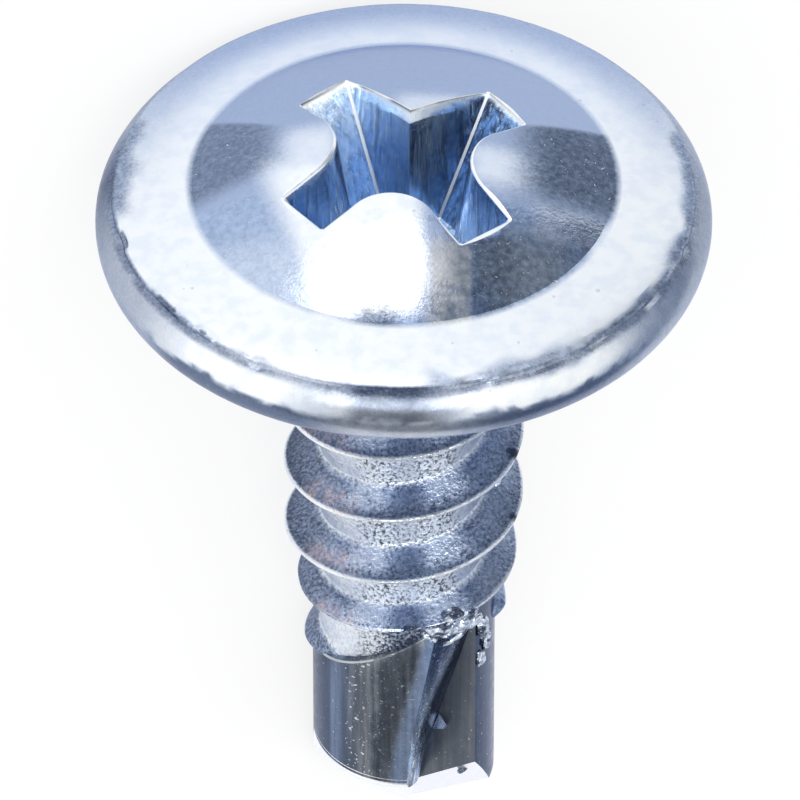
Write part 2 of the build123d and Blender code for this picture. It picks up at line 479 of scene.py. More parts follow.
# %% Join the head and the thread
def added(form, other):
    """Puts the faces of one bmesh into another."""
    mesh = bpy.data.meshes.new("passing")
    other.to_mesh(mesh)
    form.from_mesh(mesh)
    bpy.data.meshes.remove(mesh)
    other.free()


def bridge(form, low, high):
    """Joins the two open loops between two heights."""
    rims = [e for e in form.edges if e.is_boundary and all(low < v.co.z < high for v in e.verts)]
    bmesh.ops.bridge_loops(form, edges=rims)


def report(name, form):
    """Prints how many faces a bmesh has, and how many of its edges don't have two of them."""
    open_edges = sum(not edge.is_manifold for edge in form.edges)
    print(name + ":", len(form.faces), "faces,", open_edges, "open edges")


screw = head
added(screw, skin)
bridge(screw, skin_top - 0.01, neck_cut + 0.01)
bmesh.ops.holes_fill(screw, edges=[e for e in screw.edges if e.is_boundary], sides=0)
bmesh.ops.recalc_face_normals(screw, faces=screw.faces)
report("head and thread", screw)

# %% [markdown]
# ## The drill's blank
# Below the thread the blank is a little thicker than the groove's floor, and ends in a 118 degree
# cone. Its upper end is slanted. A plane could slice it so, but it would lose its small rounded
# corner. It is turned with a flat upper end instead, and that end is then leaned over by moving
# its points up on one side and down on the other.

# %% Measures of the drill
point_half_deg = 59.0
cone_slope = 1 / math.tan(math.radians(point_half_deg))
drill_top = -7.79            # height of the upper end on the axis
drill_slope = 0.64           # it rises towards +X by this much a millimetre
drill_corner = 0.03
lean_foot = -10.6            # below this height nothing leans
print("the cone of the point is", round(drill_r * cone_slope, 2), "mm high")

# %% Turn the drill's blank
def on_drill_corner(face):
    """Whether a face of the blank is in the rounded corner of its upper end, on the left."""
    center = face.calc_center_median()
    return center.xy.length > drill_r - drill_corner and 0.2 < face.normal.z < 0.95 and center.x < -0.5


def drill_blank():
    """A closed, turned blank with a leaning upper end."""
    cone_start = tip_z + drill_r * cone_slope
    corner = (drill_r, drill_top - drill_corner)
    section = [(0, drill_top)] + line_points((0, drill_top), (drill_r - drill_corner, drill_top), 3)
    section += arc_points(drill_r - drill_corner, drill_top - drill_corner, drill_corner, 90, 0, 5)[1:]
    section += line_points(corner, (drill_r, cone_start), 16)
    section += line_points((drill_r, cone_start), (0, tip_z), 5)
    blank = spun(section, shank_columns)
    for vert in blank.verts:
        vert.co.z += drill_slope * vert.co.x * blend(vert.co.z, lean_foot, drill_top - drill_corner)
    bmesh.ops.recalc_face_normals(blank, faces=blank.faces)
    return marked(marked(blank, "drill"), "corner", on_drill_corner)


blank = drill_blank()
report("the drill's blank", blank)

# %% [markdown]
# ## Welds and cutters
# The drill is welded on, and the recess and the flutes are cut away. They could be modelled into
# the skin row by row, but a Boolean keeps their edges crisp and the round surfaces untouched.
# One tool does both, with another operation: it puts the forms in the scene for a moment, adds
# the modifiers, and reads the result back. Where surfaces graze, tiny edges are left over, so
# the tool dissolves them.

# %% Weld the drill on
sliver = 2e-4                # shorter edges, left where surfaces graze, are dissolved


def as_object(form, name):
    """A bmesh as an object in the scene. The bmesh is freed."""
    mesh = bpy.data.meshes.new(name)
    form.to_mesh(mesh)
    form.free()
    thing = bpy.data.objects.new(name, mesh)
    bpy.context.scene.collection.objects.link(thing)
    return thing


def combined(form, others, operation):
    """The form with others taken away or welded on, by one exact Boolean each."""
    body = as_object(form, "blank")
    tools = [as_object(other, "tool") for other in others]
    for tool in tools:
        step = body.modifiers.new("step", "BOOLEAN")
        step.operation = operation
        step.solver = "EXACT"
        step.object = tool
    bpy.context.view_layer.update()
    result = bmesh.new()
    result.from_object(body, bpy.context.evaluated_depsgraph_get())
    bmesh.ops.dissolve_degenerate(result, dist=sliver, edges=result.edges)
    for thing in [body] + tools:
        mesh = thing.data
        bpy.data.objects.remove(thing)
        bpy.data.meshes.remove(mesh)
    return result


screw = combined(screw, [blank], "UNION")
report("with the drill", screw)

# %% [markdown]
# ### The recess
# The cross recess was punched: four tapered wings on a shallow cone, rounded between the wings.
# At the back there is a crisp, crushed point in place of the round. Such a cutter could be four
# boxes round a cone. But the walls are straight from the floor up, so it can also be an outline
# of the cross, extruded upwards in steps while it grows, and then the rounds come with it. First
# comes that outline, as a function of the height.

# %% Outline of the cross
recess_azimuth = 127.6
recess_top = 2.6
recess_floor = -0.26
floor_wing_r = 1.145
wing_wall_deg = 26.5
wing_short = (0.09, 0.09, 0.05, -0.04)   # how much each wing falls short of the full reach
wing_lean_deg = (-1.0, 1.4, 2.0, -0.8)   # and how far it is turned off its place
end_lip = (1.3, 0.8, 1.5, 1.8)           # how wide the rounded lip is at each wing's end
round_lip = (0.5, 1.5, 0.8, 1.5)         # and between that wing and the next
pointed_round = 0            # the round after this wing, at the back, is a crisp point
point_cut = 0.06             # how far that point lies beyond the corner of the two wings
floor_half_width = 0.42
wing_draft_deg = 2.0
floor_round = 0.40
top_round = 1.10
floor_cone_deg = 69.0
wing_corner = 0.035          # the chamfer in the corners of a wing's end
round_steps = 16
mouth_z = 1.9                # about where the walls meet the dome


def wing_reach(wing, z):
    """How far a wing's end is from the axis at a height."""
    return floor_wing_r - wing_short[wing] + (z - recess_floor) * math.tan(math.radians(wing_wall_deg))


def wing_half(z):
    """Half a wing's width at a height."""
    return floor_half_width + (z - recess_floor) * math.tan(math.radians(wing_draft_deg))


def wing_turn(wing, lean_deg):
    """The turn from +X to a wing, in radians."""
    return math.radians(90 * wing + recess_azimuth - 90 + lean_deg)


def cross_point(index, z, grow, crush=0.0):
    """One point of the cross at a height: a wing's end, then the round to the next wing."""
    wing, step = divmod(index, round_steps + 5)
    share = (z - recess_floor) / (recess_top - recess_floor)
    grow *= end_lip[wing] if step < 4 else round_lip[wing]
    reach, half = wing_reach(wing, z) + grow, wing_half(z) + grow
    lean = wing_lean_deg[wing]
    if step < 4:
        x, y = [(reach - wing_corner, -half), (reach, wing_corner - half),
                (reach, half - wing_corner), (reach - wing_corner, half)][step]
    elif wing == pointed_round:
        along_side = 1 - abs(1 - (step - 4) / round_steps * 2)
        tip, start = half + point_cut + crush, reach - 2 * wing_corner
        x, y = start + (tip - start) * along_side, half + (tip - half) * along_side
        x, y = (x, y) if step - 4 <= round_steps / 2 else (y, x)
    else:
        rounding = floor_round + (top_round - floor_round) * share - grow
        a = math.pi / 2 * (step - 4) / round_steps
        x, y = half + rounding * (1 - math.sin(a)), half + rounding * (1 - math.cos(a))
    if step >= 4:
        lean += (wing_lean_deg[(wing + 1) % 4] - lean) * (step - 4) / round_steps
    return Matrix.Rotation(wing_turn(wing, lean), 3, "Z") @ Vector((x, y, z))


def cross_at_height(z, grow=0.0):
    """The cross in a level plane."""
    return [cross_point(i, z, grow) for i in range(4 * (round_steps + 5))]


print("the cross:", len(cross_at_height(0)), "points,", round(2 * wing_reach(0, mouth_z), 2), "mm wide")

# %% [markdown]
# The mouth of the recess isn't knife sharp, it turns over in a rounded lip that follows the
# dome. A bevel could round it, but it would be equally wide everywhere. So the last outlines of
# the cutter don't lie in a plane: each of their points is placed at its own depth under the
# dome, and grows outwards there.

# %% Outlines of the lip
mouth_lip = [                # depth under the dome, how far the walls and how far the point went outwards
    (0.420, 0.0, 0.0),
    (0.300, 0.0, 0.0),
    (0.210, 0.0, 0.0),
    (0.140, 0.0, 0.030),
    (0.075, 0.0, 0.055),
    (0.040, 0.004, 0.065),
    (0.018, 0.014, 0.070),
    (0.000, 0.034, 0.075),
    (-0.030, 0.090, 0.100),
]


def dome_height(radius):
    """Height of the dome at a radius."""
    return dome_foot + dome_rise - ball_r + math.sqrt(ball_r**2 - radius**2)


def cross_under_dome(depth, grow, crush):
    """The cross at a depth under the dome, where each point finds its own height."""
    found = cross_at_height(dome_foot, grow)
    for _ in range(5):
        heights = [dome_height(p.xy.length) - depth for p in found]
        found = [cross_point(i, z, grow, crush) for i, z in enumerate(heights)]
    return found


lip_heights = [point.z for point in cross_under_dome(0, 0, 0)]
print("the lip lies between", round(min(lip_heights), 2), "and", round(max(lip_heights), 2), "mm")

# %% Recess cutter
cutter_flare = 0.2           # above the dome the cutter is this much wider all round
wall_steps = 4


def stacked(outlines):
    """A closed form through outlines of equally many points, one above the other."""
    form = bmesh.new()
    bottom = form.faces.new([form.verts.new(p) for p in outlines[0]])
    face = bottom
    for outline in outlines[1:]:
        made = bmesh.ops.extrude_face_region(form, geom=[face])["geom"]
        if face != bottom:
            bmesh.ops.delete(form, geom=[face], context="FACES_ONLY")
        face = next(g for g in made if isinstance(g, bmesh.types.BMFace))
        for vert, point in zip(face.verts, outline):
            vert.co = point
    bmesh.ops.recalc_face_normals(form, faces=form.faces)
    return form


def on_wing_chamfer(face):
    """Whether a face of the recess cutter is a chamfer in the corner of a wing's end."""
    for wing in range(4):
        back = Matrix.Rotation(-wing_turn(wing, wing_lean_deg[wing]), 3, "Z")
        reach, across, z = back @ face.calc_center_median()
        if reach > wing_reach(wing, z) - wing_corner and abs(across) > wing_half(z) - wing_corner:
            return True
    return False


def recess_cutter():
    """The walls up to the lip, and the floor's shallow cone."""
    low = cross_at_height(recess_floor)
    lip = [cross_under_dome(*station) for station in mouth_lip]
    shares = [i / wall_steps for i in range(1, wall_steps)]
    walls = [[p.lerp(q, share) for p, q in zip(low, lip[0])] for share in shares]
    cutter = stacked([low] + walls + lip + [cross_at_height(recess_top, cutter_flare)])
    floor = min(cutter.faces, key=lambda f: f.calc_center_median().z)
    bmesh.ops.poke(cutter, faces=[floor])
    middle = min(cutter.verts, key=lambda v: v.co.xy.length)
    middle.co.z = recess_floor - floor_wing_r / math.tan(math.radians(floor_cone_deg))
    return marked(marked(cutter, "recess"), "corner", on_wing_chamfer)


recess = recess_cutter()
report("recess cutter", recess)

# %% [markdown]
# ### The flutes
# Two flutes were pinched into the drill, half a turn apart. A flute has a wall that twists and
# comes in towards the tip. Seen from above the wall is nearly a straight line, which turns and
# shifts from height to height. So it is drawn at five heights, with smooth steps between them,
# and the outlines are stacked as those of the recess were.

# %% Outlines of the flute's wall
wall_stations = [            # height, azimuth of the heel's edge, and the groove's place: +X, front
    (-7.0, 24.0, 1.30, 1.00),
    (-8.5, 14.2, 0.97, 0.86),
    (-10.0, 4.6, 0.59, 0.73),
    (-11.7, 0.6, 0.24, 0.57),
    (-12.9, 0.0, 0.05, -0.10),
]
wall_levels = 10             # outlines from one station to the next
wall_columns = 8
wall_hollow = 0.05           # how much the wall is dished
beyond = Vector((6, 0, 0))   # from the wall to well outside of the drill


def wall_outline(z, heel_azimuth, groove_x, groove_front):
    """What lies before the flute's wall at a height, seen from above."""
    heel = outward(heel_azimuth) * drill_r
    groove = Vector((groove_x, -groove_front, 0))
    way = (heel - groove).normalized()
    behind = Vector((way.y, -way.x, 0))
    first, last = groove - way * 2, heel + way
    wall = [first]
    for i in range(wall_columns + 1):
        share = i / wall_columns
        wall.append(groove.lerp(heel, share) - behind * wall_hollow * 4 * share * (1 - share))
    return [corner + Vector((0, 0, z)) for corner in wall + [last, last + beyond, first + beyond]]


def smooth_stations(stations, between):
    """More stations between the given ones, on a smooth curve through them."""
    padded = [stations[0]] + stations + [stations[-1]]
    found = []
    for a, b, c, d in zip(padded, padded[1:], padded[2:], padded[3:]):
        for i in range(between):
            t = i / between
            found.append([0.5 * (2 * q + (r - p) * t + (2 * p - 5 * q + 4 * r - s) * t**2
                                 + (3 * q - p - 3 * r + s) * t**3) for p, q, r, s in zip(a, b, c, d)])
    return found + [list(stations[-1])]


wall_outlines = [wall_outline(*station) for station in smooth_stations(wall_stations, wall_levels)]
print("the flute's wall:", len(wall_outlines), "outlines")

# %% [markdown]
# In front of the wall lies the flat rake face, and at the centre of the tip a small thinning
# face. Both are planes, so what stays behind them, the web, is a block sliced by two planes.
# Taking the web away from the stacked form leaves a cutter with all three surfaces.

# %% Flute cutter
web_half = 0.374
same_way = 0.9999            # two normals look the same way if their dot product is above this
rake_azimuth = -24.4
thin_dip_deg = 28.9
rake_normal = outward(rake_azimuth)
thin_normal = outward(0, thin_dip_deg)


def sliced(form, normal, distance):
    """Keeps what lies beyond a plane, on the side its normal looks to, and closes the cut."""
    cut = bmesh.ops.bisect_plane(form, geom=everything(form), plane_co=normal * distance,
                                 plane_no=normal, clear_inner=True, dist=1e-5)
    rim = [g for g in cut["geom_cut"] if isinstance(g, bmesh.types.BMEdge)]
    bmesh.ops.edgenet_fill(form, edges=rim)
    bmesh.ops.recalc_face_normals(form, faces=form.faces)
    return form


def flute_cutter():
    """What lies before the wall, less the web behind the rake face and the thinning face."""
    web = bmesh.new()
    bmesh.ops.create_cube(web, size=30)
    bmesh.ops.translate(web, verts=web.verts, vec=(0, 0, tip_z))
    sliced(web, -rake_normal, -web_half)
    sliced(web, -thin_normal, -thin_normal.z * tip_z)
    cutter = marked(combined(stacked(wall_outlines), [web], "DIFFERENCE"), "flute")
    marked(cutter, "rake", lambda face: abs(face.normal.dot(rake_normal)) > same_way)
    return marked(cutter, "facet", lambda face: abs(face.normal.dot(thin_normal)) > same_way)


flute = flute_cutter()
report("flute cutter", flute)

# %% [markdown]
# ### The heels
# Behind each lip the point is set back, so that only the lip cuts. The heel keeps the slope of
# the point's cone, only higher up. Its cutter is therefore turned like the blank was, and a plane
# just behind the lip slices off the side that must not be cut.

# %% Heel cutter
lip_azimuth = 67.0
lip_thickness = 0.12
heel_step = 0.74
heel_slope_deg = 20.0
heel_corner = 0.10
heel_round = 3 * heel_corner


def heel_cutter():
    """What is set back behind the front lip, with a rounded corner to the outside."""
    cone_tip = tip_z + heel_step
    corner_z = cone_tip + (drill_r - heel_corner) * cone_slope
    top_z = corner_z + 2.2 * heel_corner
    corner = arc_points(drill_r - heel_round, top_z, heel_round + 0.002, -50, 8, 10)
    section = [(0, cone_tip)] + corner + [(2 * drill_r, top_z + heel_corner),
                                         (2 * drill_r, tip_z - 1), (0, tip_z - 1)]
    under = spun(section, 120)
    bmesh.ops.recalc_face_normals(under, faces=under.faces)
    behind = outward(lip_azimuth + 90, heel_slope_deg)
    edge = outward(lip_azimuth + 90) * lip_thickness + Vector((0, 0, tip_z))
    return marked(sliced(under, behind, behind.dot(edge)), "heel")


heel = heel_cutter()
report("heel cutter", heel)

# %% [markdown]
# ### The cut
# The drill has two equal sides, half a turn apart. The other side could be modelled again, or
# mirrored, but a mirror would turn the flute the wrong way. Its cutters are copies, turned by
# 180 degrees. The recess and all four cutters are then taken away in one go.

# %% Cut
cutters = [recess]
for turn in (0, 180):
    for form in (flute, heel):
        cutter = form.copy()
        bmesh.ops.rotate(cutter, verts=cutter.verts, cent=(0, 0, 0),
                         matrix=Matrix.Rotation(math.radians(turn), 3, "Z"))
        cutters.append(cutter)
screw = combined(screw, cutters, "DIFFERENCE")
report("screw", screw)

# %% [markdown]
# ### Burrs
# Where the dies pinched the flute through the last turn of the thread, steel was torn up and
# pressed flat again: crumpled flakes and a curl stand at the top of the flute, and a shard stuck
# low in it. A bump in the material would not change the outline, so they are modelled. A flake
# is a ball that is pressed flat and crumpled by noise.

# %% Flakes
flakes = [                   # azimuth, radius, height, and half sizes: round, out, up
    (28, 1.80, -6.92, (0.20, 0.13, 0.13)),
    (37, 1.82, -7.02, (0.17, 0.12, 0.13)),
    (22, 1.58, -7.26, (0.26, 0.18, 0.20)),
    (33, 1.62, -7.36, (0.20, 0.16, 0.17)),
    (19, 1.48, -7.58, (0.17, 0.12, 0.17)),
    (30, 1.46, -7.60, (0.18, 0.12, 0.13)),
    (46, 1.62, -7.50, (0.17, 0.10, 0.14)),
    (57, 1.60, -7.90, (0.12, 0.09, 0.20)),
    (63, 1.57, -8.30, (0.10, 0.07, 0.22)),
    (57, 1.56, -8.66, (0.11, 0.06, 0.16)),
    (52, 1.99, -4.24, (0.07, 0.05, 0.04)),
    (54, 1.27, -11.35, (0.12, 0.06, 0.05)),
]
crumple = 0.45


def set_on(form, azimuth, radius, height):
    """Turns a form made at the origin, facing -Y, to an azimuth and puts it there."""
    turn = Matrix.Rotation(math.radians(azimuth), 4, "Z")
    place = outward(azimuth) * radius + Vector((0, 0, height))
    bmesh.ops.transform(form, matrix=Matrix.Translation(place) @ turn, verts=form.verts)
    return form


def flake(azimuth, radius, height, sizes):
    """A crumpled flake."""
    form = bmesh.new()
    bmesh.ops.create_icosphere(form, subdivisions=4, radius=1)
    for vert in form.verts:
        seed = Vector((azimuth, height * 7, 0))
        bump = noise.noise(vert.co * 1.3 + seed) - 0.9 * abs(noise.noise(vert.co * 2.3 + seed))
        vert.co *= 1.1 + crumple * (bump + 0.2 * noise.noise(vert.co * 6 + seed))
        vert.co = Vector([c * s for c, s in zip(vert.co, sizes)])
    return marked(set_on(form, azimuth, radius, height), "burr")


torn = [flake(*one) for one in flakes]
print(len(torn), "flakes of", len(torn[0].faces), "faces")

# %% [markdown]
# The curl is a small round section spun through an arc, and then bent a little by noise. The
# shard is a cone with three sides and a blunt end, lying down. Burrs that only touch the screw
# would be loose shells inside one another. They are welded to each other first, and then to the
# screw, so that the piece stays one closed shell.

# %% Curl and shard
curl_place = (27, 1.60, -7.10)   # azimuth, radius and height of the middle of its arc
curl_r = 0.50
curl_deg = 100
curl_stretch = 1.3           # it is this much longer along the screw's axis
wire_r = 0.045
shard_place = (40, 1.03, -10.25)
shard_r = 0.17


def curl():
    """A round section, spun a little over a quarter turn."""
    form = bmesh.new()
    circle = bmesh.ops.create_circle(form, segments=12, radius=wire_r, cap_ends=True)["verts"]
    bmesh.ops.translate(form, verts=circle, vec=(curl_r, 0, 0))
    bmesh.ops.spin(form, geom=everything(form), cent=(0, 0, 0), axis=(0, 1, 0),
                   angle=math.radians(curl_deg), steps=24, use_merge=False)
    bmesh.ops.recalc_face_normals(form, faces=form.faces)
    for vert in form.verts:
        wave = noise.noise(vert.co * 6)
        vert.co += Vector((0.03 * wave, 0.02 * wave, 0.03 * noise.noise(vert.co * 9)))
        vert.co.z *= curl_stretch
    return marked(set_on(form, *curl_place), "burr")


def shard():
    """A three sided shard that stuck low in the flute."""
    form = bmesh.new()
    bmesh.ops.create_cone(form, segments=3, radius1=shard_r, radius2=0.35 * shard_r,
                          depth=shard_r, cap_ends=True)
    lying = Matrix.Rotation(math.radians(90), 3, "X")
    bmesh.ops.rotate(form, verts=form.verts, cent=(0, 0, 0), matrix=lying)
    return marked(set_on(form, *shard_place), "burr")


burrs = combined(curl(), torn + [shard()], "UNION")
report("burrs", burrs)
screw = combined(screw, [burrs], "UNION")
report("screw with burrs", screw)

# %% [markdown]
# ## What the finish needs to know
# The plating is one material, but it is not the same everywhere. Six numbers steer it: how rough the place
# is, how strongly the crystals of the zinc show, how blue the passivation is, which in places also carries
# painted shade, how much dullness and painted shade the place has, how much of a pink tarnish it has, and
# how scratched and specked it is. Below zero the dullness number paints the metal white, as a highlight.
# The numbers could be painted by hand. Here they are worked out for every corner of every face, from its
# region and its place, so that they change sharply between two regions and smoothly within one.

# %% Finish of each region
region_finish = {            # roughness, grain, blue, dullness and painted shade, pink, streak
    # The flute and the rake are painted dark, as shade; the corners, the facet and the heel are painted
    # white, as highlights.
    "drill": (0.22, 0.10, 1.0, 0.9, 0.0, 0.12),
    "recess": (0.20, 0.10, 0.86, 0.00, 0.0, 0.9),
    "corner": (0.60, 0.05, 0.0, -0.3, 0.0, 0.0),
    "flute": (0.20, 0.60, 1.0, 0.93, 0.0, 0.35),
    "rake": (0.42, 0.02, 0.0, 0.95, 0.0, 0.1),
    "facet": (0.30, 0.05, 0.0, -0.3, 0.0, 0.0),
    "heel": (0.30, 0.05, 0.0, -0.3, 0.0, 0.0),
    "burr": (0.25, 0.50, 0.3, 0.15, 0.0, 0.0),
}
finish_names = ["rough", "grain", "blue", "dull_and_shade", "pink", "streak"]
print("the drill's land:", dict(zip(finish_names, region_finish["drill"])))

# %% [markdown]
# ### The dome
# The dome was polished by the die. On its bright metal lie patches of painted highlight, painted shade and
# a painted beige reflection, and speckled patches. A patch could be a texture image. Here it is the place
# that lies beyond two to four straight lines on the dome, each with its own softness: a few numbers give
# it a sharp and a soft side.

# %% Patches of the dome
dome_shade = 0.34             # painted shade: the polished dome is darker than the satin flange
# Painted highlights, where the dome mirrors bright surroundings.
painted_highlight_patches = [           # strength, then its sides: azimuth it looks to, distance, softness
    (1.00, (107, -2.60, 0.60), (-90, -0.55, 0.50), (0, -0.30, 0.90), (180, -3.50, 0.35)),
    (0.62, (90, 1.00, 0.30), (-90, -2.40, 0.80), (0, -0.30, 0.50), (180, -1.10, 0.60)),
    (0.70, (-90, 1.00, 0.30), (90, -2.30, 0.60), (0, -0.90, 0.60), (180, -0.90, 0.60)),
    (0.32, (-60, 2.00, 0.50), (0, 1.30, 0.90)),
    (0.55, (90, -0.30, 0.40), (-90, -1.20, 0.40), (180, 0.85, 0.10), (0, -1.60, 0.45)),
    (0.40, (90, 1.90, 0.50), (0, 0.90, 0.30), (180, -1.90, 0.30)),
]
# Painted shade, where the dome mirrors dark surroundings.
painted_shade_patches = [
    (0.33, (-30, 0.25, 0.12), (-90, 1.75, 0.80), (-164, 0.12, 0.50)),
    (0.52, (16, -0.32, 0.15), (90, 1.45, 1.10), (180, -1.30, 0.80)),
    (0.16, (90, 1.05, 0.10), (0, 1.62, 0.25)),
    (0.32, (90, 1.05, 0.10), (-90, -2.20, 0.60), (0, 1.70, 0.25)),
    (0.46, (5, 2.80, 0.35), (-90, -0.05, 0.40), (90, -1.00, 0.40)),
]
# A painted beige reflection, in front and to the right of the middle.
beige_shade_patches = [
    (0.95, (90, 0.20, 0.40), (-90, -1.15, 0.10), (0, 1.80, 0.50)),
]
speckled_patches = [
    (0.15, (-90, 1.10, 0.40), (0, 0.60, 0.40)),
    (0.22, (90, 1.05, 0.10), (0, 0.90, 0.50)),
    (0.15, (0, 2.60, 0.30)),
]


def patch_strength(co, patches):
    """How strong the strongest of some patches of the dome is at a place."""
    strongest = 0
    for strength, *sides in patches:
        share = strength
        for azimuth, distance, softness in sides:
            share *= blend(co.xy.dot(outward(azimuth).xy) - distance, 0, softness)
        strongest = max(strongest, share)
    return strongest


before_recess = Vector((0, -2.3, dome_height(2.3)))
print("brightness before the recess:", round(patch_strength(before_recess, painted_highlight_patches), 2))

# %% [markdown]
# ### The rim
# Handling has worn the rim more than the rest. The two halves of its side get stretches of painted light
# and shade, and the flange is darker over its edge here and there. These change slowly with the azimuth,
# so they are lists of azimuths and values with straight lines between them.

# %% Tones round the rim
flange_dull = 0.05
slack = 0.02                 # a finish ends this close to the edge of its own form
rim_middle = (0.57, 0.67)    # between these heights the rim's upper half turns into its lower half
grey_azimuth = -3            # here the rim's side is painted less blue, as a reflection
rim_tones = [                # azimuth, painted shade on the upper half of the rim's side
    (-180, 0.40), (-112, 0.50), (-95, 0.85), (-86, 0.66), (-74, 0.50), (-60, 0.46), (-50, 0.25),
    (-43, 0.00), (-26, 0.00), (-18, 0.30), (-12, 0.46), (-8, 0.84), (2, 0.94), (8, 0.54), (14, 0.00),
    (38, 0.00), (50, 0.30), (72, 0.50), (90, 0.60), (112, 0.50), (180, 0.40),
]
band_tones = [               # azimuth, painted shade on the lower half
    (-180, 0.40), (-95, 0.66), (-80, 0.50), (-56, 0.50), (-48, 0.76), (-20, 0.76), (-8, 0.42),
    (8, 0.42), (20, 0.72), (38, 0.66), (52, 0.42), (90, 0.50), (180, 0.40),
]
edge_tones = [               # azimuth, dullness and painted shade of the step in the rim
    (-180, 0.20), (-112, 0.35), (-85, 0.65), (-50, 0.75), (-36, 0.50), (-20, 0.35), (0, 0.42),
    (25, 0.55), (50, 0.50), (75, 0.50), (110, 0.35), (180, 0.20),
]
edge_darkening = [                # from azimuth, to azimuth, reach over the flange, strength
    (-114, -82, 0.44, 0.42), (-62, -43, 0.10, 0.60), (-36, -26, 0.10, 0.40),
    (4, 38, 0.30, 0.32), (38, 68, 0.16, 0.60), (66, 110, 0.28, 0.48),
]


def edge_dark_strength(azimuth, inwards):
    """How much darker the edge of the flange is, so far inwards of it."""
    strongest = 0
    for first, last, reach, strength in edge_darkening:
        ragged = reach * (0.9 + 0.9 * noise.noise(Vector((azimuth * 0.12, 1, 0))))
        share = blend(azimuth, first - 2, first + 4) * (1 - blend(azimuth, last - 4, last + 2))
        strongest = max(strongest, strength * share * (1 - blend(inwards, 0.3 * ragged, 1.2 * ragged)))
    return strongest


print("dullness of the rim in front:", round(along(rim_tones, 0), 2))

# %% [markdown]
# The dome, the flange and the rim's side get a function each. They could share one formula, but
# their finishes have little in common. Each returns its six numbers, and a fourth function picks
# the one that fits the place.

# %% Finish of the head
def dome_finish(co):
    """Polished, with painted highlights, painted shade, a painted beige reflection and speckled patches.
    """
    dark, bright = patch_strength(co, painted_shade_patches), patch_strength(co, painted_highlight_patches)
    beige, speckled = patch_strength(co, beige_shade_patches), patch_strength(co, speckled_patches)
    grain = 0.08 + 0.4 * dark + 0.7 * bright * (1 - bright) + 0.5 * speckled
    blue = (1 - 0.9 * bright) * (1 - beige)
    dull_and_shade = dome_shade * (1 - bright) + max(dark, 0.24 * beige)
    return 0.17, grain, blue, dull_and_shade, 0.0, max(0.3 * dark, speckled * (1 - bright))


def flange_finish(co, back):
    """Satin, with painted shade that makes it bluer and darker at the back, and darker over its edge."""
    radius = co.xy.length
    outer = blend(radius, 3.7, 4.6)
    dark_by_edge = edge_dark_strength(azimuth_of(co), rim_corner_r - radius)
    # Painted shade: bluer towards the back, and darker there in the outer band; a little darker at both
    # sides.
    blue = 0.11 + 0.85 * max(back * (0.3 + 0.7 * outer), min(2 * dark_by_edge, 1))
    dull_and_shade = flange_dull + 0.05 * blend(abs(co.x), 2.5, 4.5) + max(0.22 * back * outer, dark_by_edge)
    return 0.38, 0.20 + 0.7 * dark_by_edge, blue, dull_and_shade, 0.0, 0.3 * dark_by_edge


def rim_finish(co, back):
    """The rim's side in its two halves with painted light and shade, the step above them, and the
    underside.
    """
    azimuth = azimuth_of(co)
    ragged = 0.13 * noise.noise(co * 1.7) + 0.10 * noise.noise(co * 4.5)
    low = 1 - blend(co.z + ragged, *rim_middle)
    tone = along(rim_tones, azimuth) * (1 - low) + along(band_tones, azimuth) * low
    worn = along(edge_tones, azimuth) + 4 * edge_wear(azimuth) - 0.05
    step = blend(co.z + 0.3 * ragged, rim_top - rim_step - 0.11, rim_top - rim_step - 0.03)
    under = 1 - blend(co.z, -0.1, 0.02)
    # Painted shade on the step, which is also worn, on the two halves of the side, and a little on the
    # underside.
    dull_and_shade = max(step * min(worn, 0.9), tone * (1 - under), 0.25 * under)
    # The back and the darker places are painted bluer, as shade; near the front the side is painted
    # greyer, as a reflection.
    blue = max(0.8 * back, (0.8 + 0.2 * max(low, step)) * min(1.3 * dull_and_shade, 1) * (1 - under))
    blue *= 1 - 0.55 * (1 - step) * (1 - blend(abs(azimuth - grey_azimuth), 6, 16))
    return 0.28, 0.12 + 0.3 * step, blue, dull_and_shade, 0.0, 0.0


def head_finish(co):
    """The finish of the part of the head that a place is on."""
    radius = co.xy.length
    if co.z > dome_foot - slack and radius < dome_r + slack:
        return dome_finish(co)
    # How far to the back a place is: there the flange and the rim are painted bluer and darker, as shade.
    back = blend(co.y, -1.0, 4.0)
    if co.z > rim_top - 0.03 and radius < rim_corner_r - slack:
        return flange_finish(co, back)
    return rim_finish(co, back)


print("flange, at the front:", rounded(head_finish(Vector((0, -4.2, 1.24)))))

# %% [markdown]
# ### The thread
# The rolled groove is bright and full of small pits. The flanks of the ridge get painted shade, darker on
# the left and towards the crest, with two stretches of painted light where the crystals are also coarser,
# a pink tarnish at one side, and a bare, worn crest. All of this follows the ridge, so it is worked out
# from the radius and the azimuth.

# %% Finish of the thread
thread_pits = [(70, -4.14), (69, -5.58), (60, -4.32)]   # azimuth, height
lit_flank_azimuths = (-21, 25)  # the flanks' stretches of painted light
tarnish_azimuth = -42


